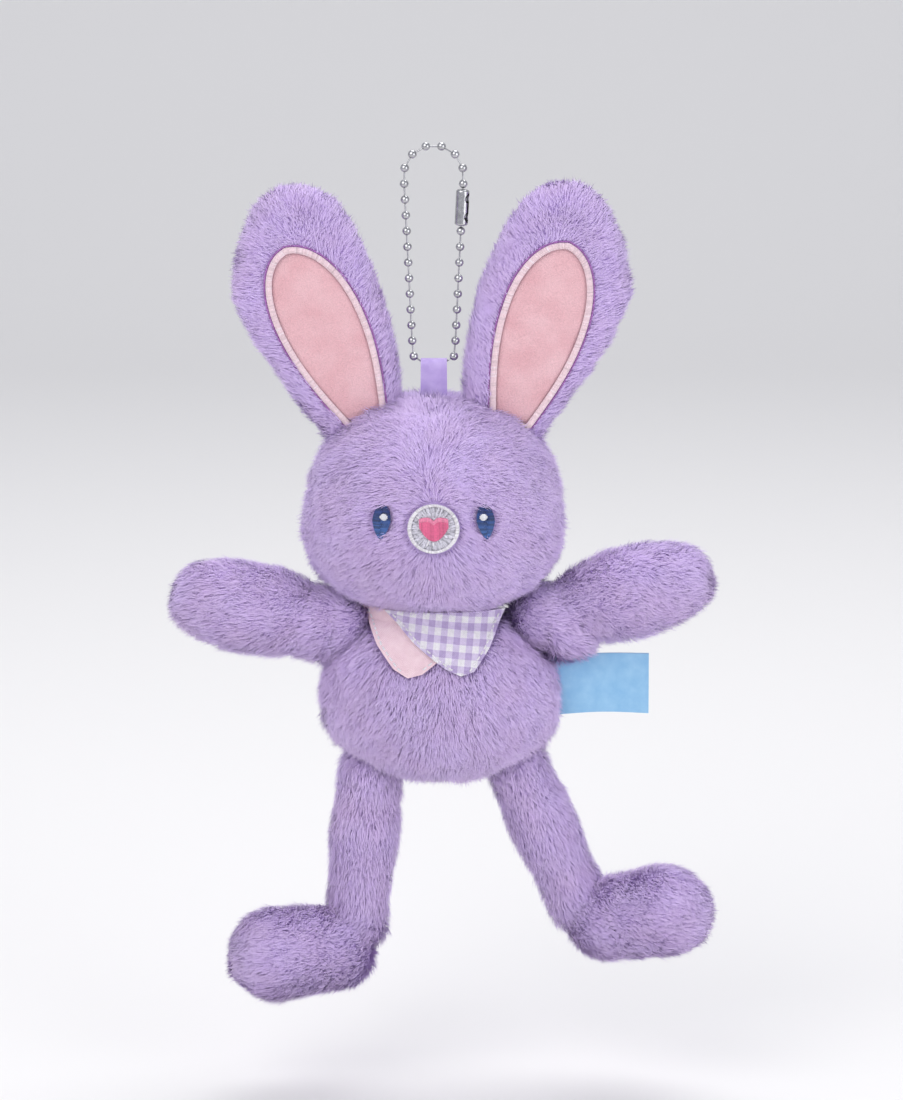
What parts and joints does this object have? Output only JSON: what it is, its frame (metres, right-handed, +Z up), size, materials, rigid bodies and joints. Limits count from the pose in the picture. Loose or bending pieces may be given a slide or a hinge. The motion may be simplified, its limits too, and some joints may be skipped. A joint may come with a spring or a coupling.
{
  "type": "plush bunny bag charm",
  "caption": "Small stuffed bunny with upright lined ears, an embroidered face, a neckerchief and floppy jointed limbs, hung by a ribbon loop from a ball chain.",
  "frame": {"origin": "centre of the peg, hook or bag strap that the top of the ball chain hangs over", "axes": "+Z up along the hanging line, the bunny faces -Y, so its own left is +X"},
  "size_m": [0.1285, 0.0471, 0.2039],
  "materials": {
    "pile": "soft lilac plush pile",
    "filling": "loose polyester fibre",
    "ear_lining": "short pink velboa",
    "satin_border": "glossy satin stitch",
    "muzzle_thread": "silver-white embroidery",
    "nose_thread": "pink embroidery",
    "eye_thread": "blue embroidery",
    "glint_thread": "white embroidery",
    "ribbon": "lilac satin ribbon",
    "scarf_plain": "pale pink cotton",
    "scarf_check": "lilac and white gingham",
    "label": "light blue woven satin",
    "steel": "bright nickel plate"
  },
  "bodies": {
    "chain": {"chain_balls": "steel", "chain_links": "steel"},
    "connector": {"chain_connector": "steel"},
    "ribbon": {"ribbon_loop": "ribbon"},
    "head": {"head_front_panel": "pile", "head_back_panel": "pile", "head_stuffing": "filling", "muzzle_patch": "muzzle_thread", "heart_nose": "nose_thread", "left_eye": "eye_thread", "right_eye": "eye_thread", "left_eye_glint": "glint_thread", "right_eye_glint": "glint_thread"},
    "torso": {"torso_front_panel": "pile", "torso_back_panel": "pile", "torso_stuffing": "filling", "neck_plug": "pile", "scarf_neck_band": "scarf_check"},
    "scarf_flaps": {"scarf_plain_flap": "scarf_plain", "scarf_check_flap": "scarf_check"},
    "label": {"side_label": "label"},
    "left_ear": {"left_ear_front_panel": "pile", "left_ear_back_panel": "pile", "left_ear_padding": "filling", "left_ear_lining": "ear_lining", "left_ear_lining_border": "satin_border"},
    "left_arm": {"left_arm_front_panel": "pile", "left_arm_back_panel": "pile", "left_arm_stuffing": "filling"},
    "left_leg": {"left_leg_front_panel": "pile", "left_leg_back_panel": "pile", "left_leg_stuffing": "filling"},
    "right_ear": {"right_ear_front_panel": "pile", "right_ear_back_panel": "pile", "right_ear_padding": "filling", "right_ear_lining": "ear_lining", "right_ear_lining_border": "satin_border"},
    "right_arm": {"right_arm_front_panel": "pile", "right_arm_back_panel": "pile", "right_arm_stuffing": "filling"},
    "right_leg": {"right_leg_front_panel": "pile", "right_leg_back_panel": "pile", "right_leg_stuffing": "filling"}
  },
  "joints": [
    {"name": "connector_turn", "type": "hinge", "parent": "chain", "child": "connector", "pos_m": [0.00668, 0, -0.00762], "axis": [0.049, 0, 0.9988], "continuous": true},
    {"name": "charm_swing", "type": "hinge", "parent": "chain", "child": "ribbon", "pos_m": [0, 0, -0.0451], "axis": [1, 0, 0], "range_deg": [-70, 70]},
    {"name": "ribbon_bend", "type": "hinge", "parent": "ribbon", "child": "head", "pos_m": [0, 0, -0.0544], "axis": [1, 0, 0], "range_deg": [-30, 30], "stiffness_Nm_per_rad": 0.01},
    {"name": "head_turn", "type": "hinge", "parent": "head", "child": "torso", "pos_m": [0.0016, 0, -0.112], "axis": [0, 0, 1], "range_deg": [-20, 20], "stiffness_Nm_per_rad": 0.02},
    {"name": "scarf_lift", "type": "hinge", "parent": "torso", "child": "scarf_flaps", "pos_m": [0.0016, -0.011, -0.1048], "axis": [-1, 0, 0], "range_deg": [0, 25], "stiffness_Nm_per_rad": 0.0005},
    {"name": "label_fold", "type": "hinge", "parent": "torso", "child": "label", "pos_m": [0.02925, 0, -0.1233], "axis": [0, 0, 1], "range_deg": [-60, 60], "stiffness_Nm_per_rad": 0.0005},
    {"name": "left_ear_flop", "type": "hinge", "parent": "head", "child": "left_ear", "pos_m": [0.01768, 0, -0.05563], "axis": [0.891, 0, -0.454], "range_deg": [-45, 45], "stiffness_Nm_per_rad": 0.02},
    {"name": "left_arm_swing", "type": "hinge", "parent": "torso", "child": "left_arm", "pos_m": [0.0262, -0.0005, -0.109], "axis": [0, 0, -1], "range_deg": [-45, 60], "stiffness_Nm_per_rad": 0.02},
    {"name": "left_leg_swing", "type": "hinge", "parent": "torso", "child": "left_leg", "pos_m": [0.0205, -0.001, -0.14442], "axis": [-1, 0, 0], "range_deg": [-30, 75], "stiffness_Nm_per_rad": 0.02},
    {"name": "right_ear_flop", "type": "hinge", "parent": "head", "child": "right_ear", "pos_m": [-0.01768, 0, -0.05563], "axis": [0.891, 0, 0.454], "range_deg": [-45, 45], "stiffness_Nm_per_rad": 0.02},
    {"name": "right_arm_swing", "type": "hinge", "parent": "torso", "child": "right_arm", "pos_m": [-0.023, -0.0005, -0.109], "axis": [0, 0, 1], "range_deg": [-45, 60], "stiffness_Nm_per_rad": 0.02},
    {"name": "right_leg_swing", "type": "hinge", "parent": "torso", "child": "right_leg", "pos_m": [-0.0156, -0.001, -0.14528], "axis": [-1, 0, 0], "range_deg": [-30, 75], "stiffness_Nm_per_rad": 0.02}
  ]
}
